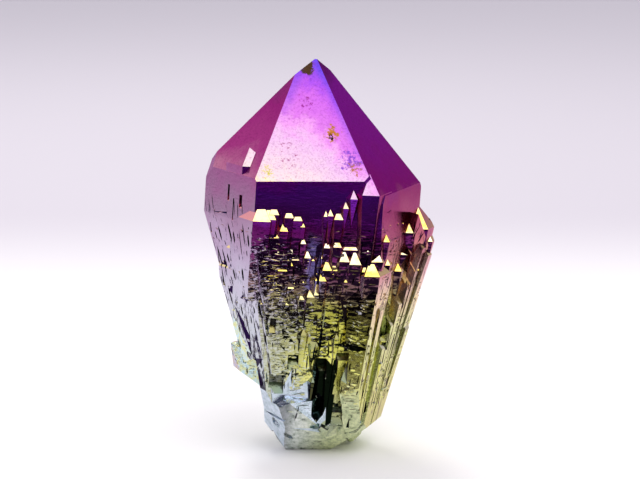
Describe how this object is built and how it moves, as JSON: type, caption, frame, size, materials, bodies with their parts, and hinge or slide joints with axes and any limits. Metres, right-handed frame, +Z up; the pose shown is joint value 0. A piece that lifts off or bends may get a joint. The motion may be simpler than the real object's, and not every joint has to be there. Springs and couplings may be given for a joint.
{
  "type": "rainbow aura quartz point",
  "caption": "Upright quartz crystal point with a faceted pyramid tip, small crystals grown on its sides, a broken foot and a rainbow metallic film.",
  "frame": {"origin": "on the ground under the middle of the bounding box", "axes": "+Z up, the long way of the crystal; -Y is the front, the side with the broad tip face; +X is to the right of someone who faces the front"},
  "size_m": [0.0264, 0.0238, 0.0447],
  "materials": {
    "aura_quartz": "natural quartz with a thin iridescent metal film, violet at the tip through rose and gold to silver at the foot"
  },
  "bodies": {
    "root": {"aura_quartz_point": "aura_quartz"}
  },
  "joints": []
}
